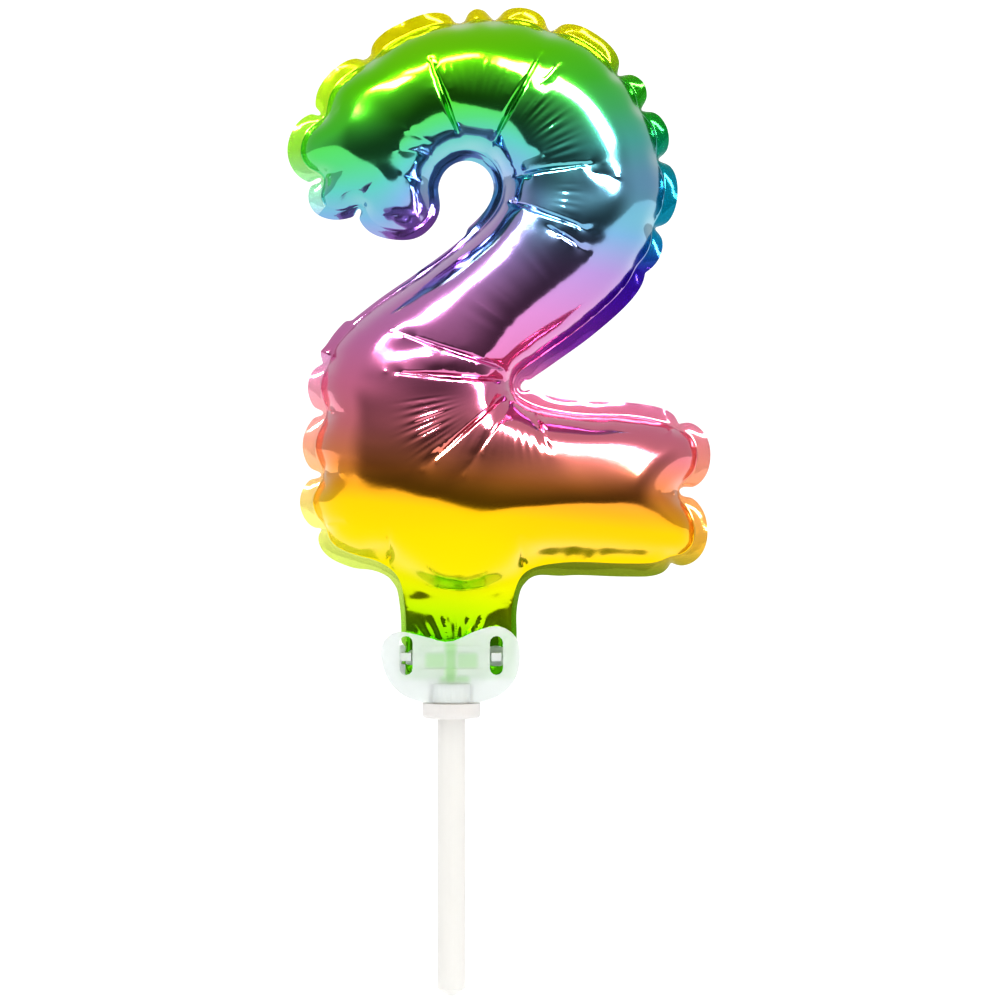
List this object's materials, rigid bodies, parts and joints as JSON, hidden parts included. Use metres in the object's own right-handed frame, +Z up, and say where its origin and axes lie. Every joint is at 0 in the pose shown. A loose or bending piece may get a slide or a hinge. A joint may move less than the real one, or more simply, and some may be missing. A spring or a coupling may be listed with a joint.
{
  "type": "number balloon cake topper",
  "caption": "Inflated metallised-foil balloon shaped like a 2, its flat neck held by a butterfly clip on a thin hollow stick that pushes into a cake.",
  "frame": {"origin": "the stick's tip, on the stick's axis", "axes": "+Z up the stick towards the numeral, -Y out of the numeral's front, +X to the right of someone reading it"},
  "size_m": [0.0821, 0.0304, 0.198],
  "materials": {
    "stick_plastic": "satin",
    "collar_plastic": "satin",
    "clip_plastic": "gloss",
    "foil": "polished",
    "valve_film": "gloss"
  },
  "bodies": {
    "stick": {"stick": "stick_plastic"},
    "ferrule": {"collar": "collar_plastic"},
    "balloon": {"clip_front": "clip_plastic", "front_foil": "foil", "back_foil": "foil", "valve_front": "valve_film", "valve_back": "valve_film"},
    "jaw": {"clip_back": "clip_plastic"}
  },
  "joints": [
    {"name": "collar_pull", "type": "slide", "parent": "stick", "child": "ferrule", "axis": [0, 0, 1], "range_m": [0, 0.012]},
    {"name": "clip_turn", "type": "hinge", "parent": "ferrule", "child": "balloon", "pos_m": [0, 0, 0.0585], "axis": [0, 0, 1], "continuous": true},
    {"name": "jaw_unclip", "type": "slide", "parent": "balloon", "child": "jaw", "axis": [0, 1, 0], "range_m": [0, 0.006]}
  ]
}
